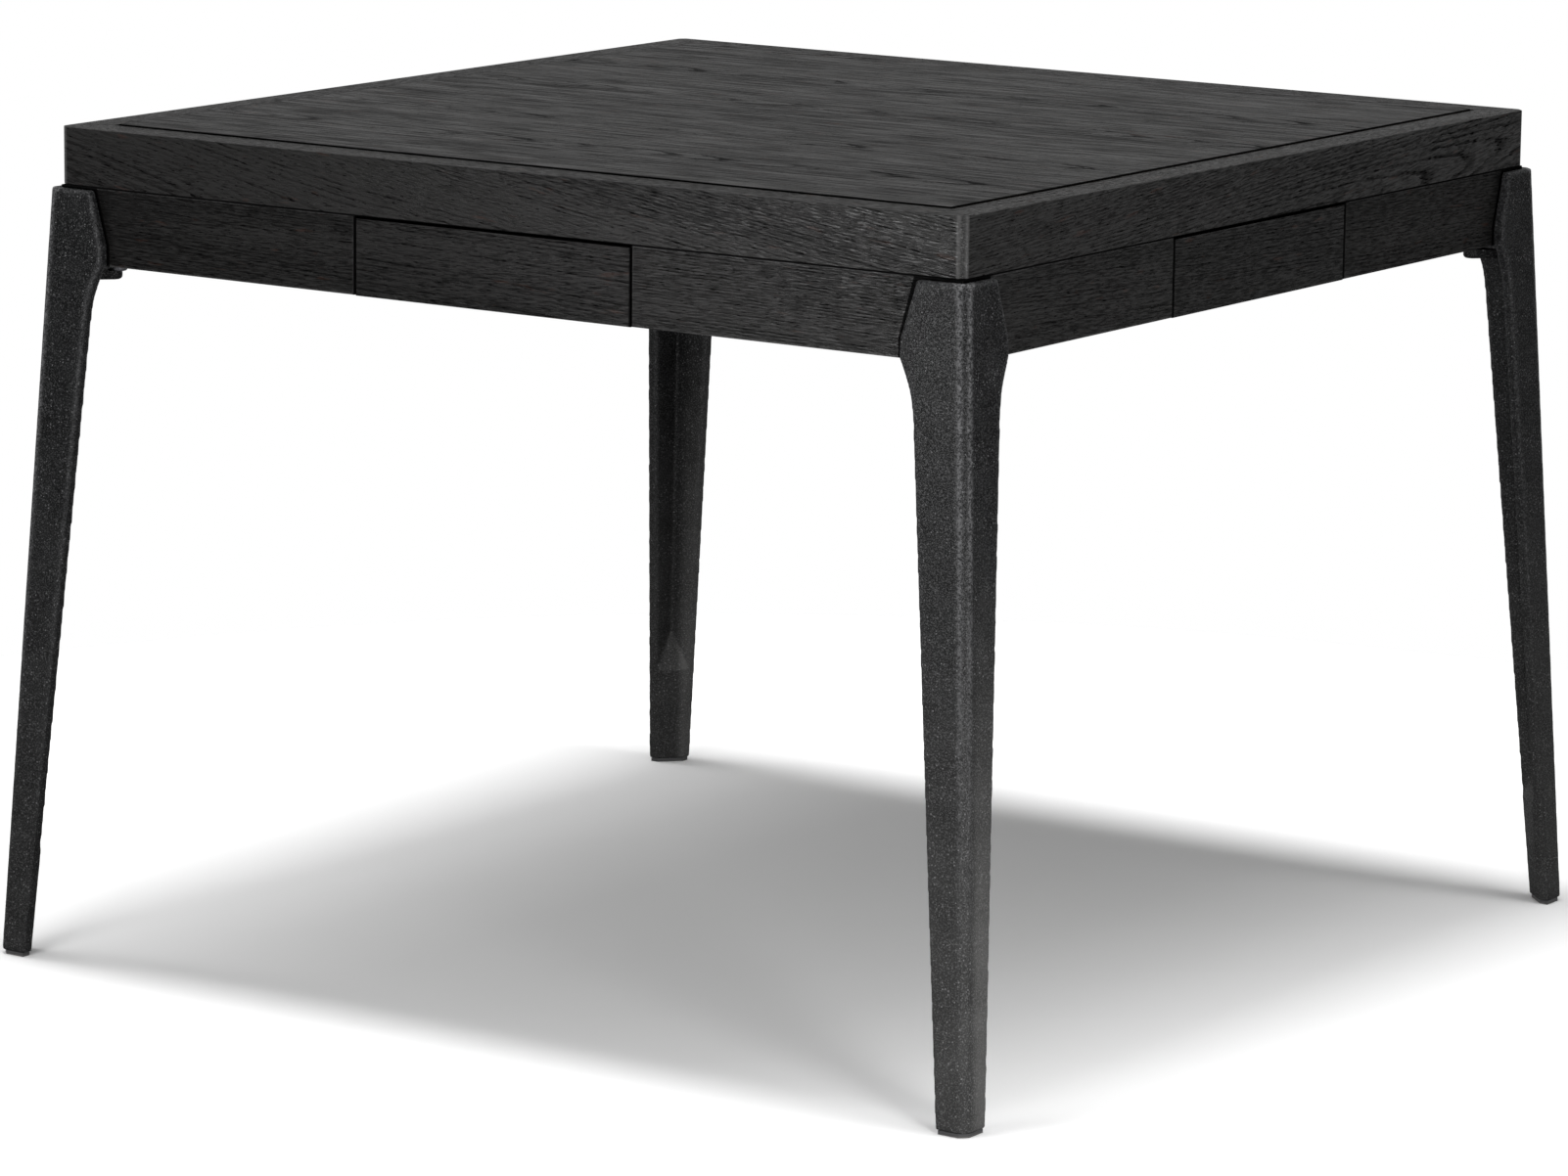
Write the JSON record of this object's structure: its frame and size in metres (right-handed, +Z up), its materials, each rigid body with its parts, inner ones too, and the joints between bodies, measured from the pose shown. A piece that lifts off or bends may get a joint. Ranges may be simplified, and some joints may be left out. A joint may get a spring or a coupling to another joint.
{
  "type": "mahjong table",
  "caption": "Square black oak game table with splayed cast legs, a flush pull-out drawer in each side and a loose reversible top panel with game cloth underneath.",
  "frame": {"origin": "on the floor under the middle of the top", "axes": "+Z up, -Y towards the front side, +X towards the right side; both horizontal axes are square to the rim"},
  "size_m": [1.0556, 1.0556, 0.762],
  "materials": {
    "stained_oak": "black-stained open-grain oak, matt lacquer",
    "inner_wood": "black-stained hardwood, unlacquered",
    "drawer_wood": "dark-stained hardwood, satin",
    "drawer_floor": "dark-stained plywood, satin",
    "panel_board": "fibre board with stained edges",
    "game_cloth": "green wool baize",
    "cast_leg": "sand-cast, painted black, edges rubbed",
    "zinc_steel": "zinc-plated",
    "black_steel": "black oxide",
    "glide_plastic": "black nylon"
  },
  "bodies": {
    "table_frame": {"rim_rail_front": "stained_oak", "rim_rail_right": "stained_oak", "rim_rail_back": "stained_oak", "rim_rail_left": "stained_oak", "apron_front_left": "stained_oak", "apron_front_right": "stained_oak", "apron_right_left": "stained_oak", "apron_right_right": "stained_oak", "apron_back_left": "stained_oak", "apron_back_right": "stained_oak", "apron_left_left": "stained_oak", "apron_left_right": "stained_oak", "leg_back_right": "cast_leg", "leg_back_left": "cast_leg", "leg_front_left": "cast_leg", "leg_front_right": "cast_leg", "corner_blocks": "inner_wood", "grid_rail_front": "inner_wood", "grid_rail_right": "inner_wood", "grid_rail_back": "inner_wood", "grid_rail_left": "inner_wood", "grid_brackets": "zinc_steel", "panel_ledges": "inner_wood", "leg_bolts": "black_steel", "foot_glides": "glide_plastic", "slide_front_outer": "zinc_steel", "slide_right_outer": "zinc_steel", "slide_back_outer": "zinc_steel", "slide_left_outer": "zinc_steel"},
    "top_panel": {"panel_core": "panel_board", "panel_oak_face": "stained_oak", "panel_game_cloth": "game_cloth"},
    "drawer_front": {"drawer_front_face": "stained_oak", "drawer_front_wall_left": "drawer_wood", "drawer_front_wall_right": "drawer_wood", "drawer_front_rear_board": "drawer_wood", "drawer_front_floor": "drawer_floor", "slide_front_inner": "zinc_steel"},
    "slide_carriage_front": {"slide_front_middle": "zinc_steel"},
    "drawer_right": {"drawer_right_face": "stained_oak", "drawer_right_wall_left": "drawer_wood", "drawer_right_wall_right": "drawer_wood", "drawer_right_rear_board": "drawer_wood", "drawer_right_floor": "drawer_floor", "slide_right_inner": "zinc_steel"},
    "slide_carriage_right": {"slide_right_middle": "zinc_steel"},
    "drawer_back": {"drawer_back_face": "stained_oak", "drawer_back_wall_left": "drawer_wood", "drawer_back_wall_right": "drawer_wood", "drawer_back_rear_board": "drawer_wood", "drawer_back_floor": "drawer_floor", "slide_back_inner": "zinc_steel"},
    "slide_carriage_back": {"slide_back_middle": "zinc_steel"},
    "drawer_left": {"drawer_left_face": "stained_oak", "drawer_left_wall_left": "drawer_wood", "drawer_left_wall_right": "drawer_wood", "drawer_left_rear_board": "drawer_wood", "drawer_left_floor": "drawer_floor", "slide_left_inner": "zinc_steel"},
    "slide_carriage_left": {"slide_left_middle": "zinc_steel"}
  },
  "joints": [
    {"name": "top_panel_lift", "type": "slide", "parent": "table_frame", "child": "top_panel", "axis": [0, 0, 1], "range_m": [0, 0.3]},
    {"name": "drawer_front_slide", "type": "slide", "parent": "table_frame", "child": "drawer_front", "axis": [0, -1, 0], "range_m": [0, 0.25]},
    {"name": "carriage_front_slide", "type": "slide", "parent": "table_frame", "child": "slide_carriage_front", "axis": [0, -1, 0], "range_m": [0, 0.125]},
    {"name": "drawer_right_slide", "type": "slide", "parent": "table_frame", "child": "drawer_right", "axis": [1, 0, 0], "range_m": [0, 0.25]},
    {"name": "carriage_right_slide", "type": "slide", "parent": "table_frame", "child": "slide_carriage_right", "axis": [1, 0, 0], "range_m": [0, 0.125]},
    {"name": "drawer_back_slide", "type": "slide", "parent": "table_frame", "child": "drawer_back", "axis": [0, 1, 0], "range_m": [0, 0.25]},
    {"name": "carriage_back_slide", "type": "slide", "parent": "table_frame", "child": "slide_carriage_back", "axis": [0, 1, 0], "range_m": [0, 0.125]},
    {"name": "drawer_left_slide", "type": "slide", "parent": "table_frame", "child": "drawer_left", "axis": [-1, 0, 0], "range_m": [0, 0.25]},
    {"name": "carriage_left_slide", "type": "slide", "parent": "table_frame", "child": "slide_carriage_left", "axis": [-1, 0, 0], "range_m": [0, 0.125]}
  ],
  "couplings": [
    {"joint": "carriage_front_slide", "follows": "drawer_front_slide", "ratio": 0.5},
    {"joint": "carriage_right_slide", "follows": "drawer_right_slide", "ratio": 0.5},
    {"joint": "carriage_back_slide", "follows": "drawer_back_slide", "ratio": 0.5},
    {"joint": "carriage_left_slide", "follows": "drawer_left_slide", "ratio": 0.5}
  ]
}
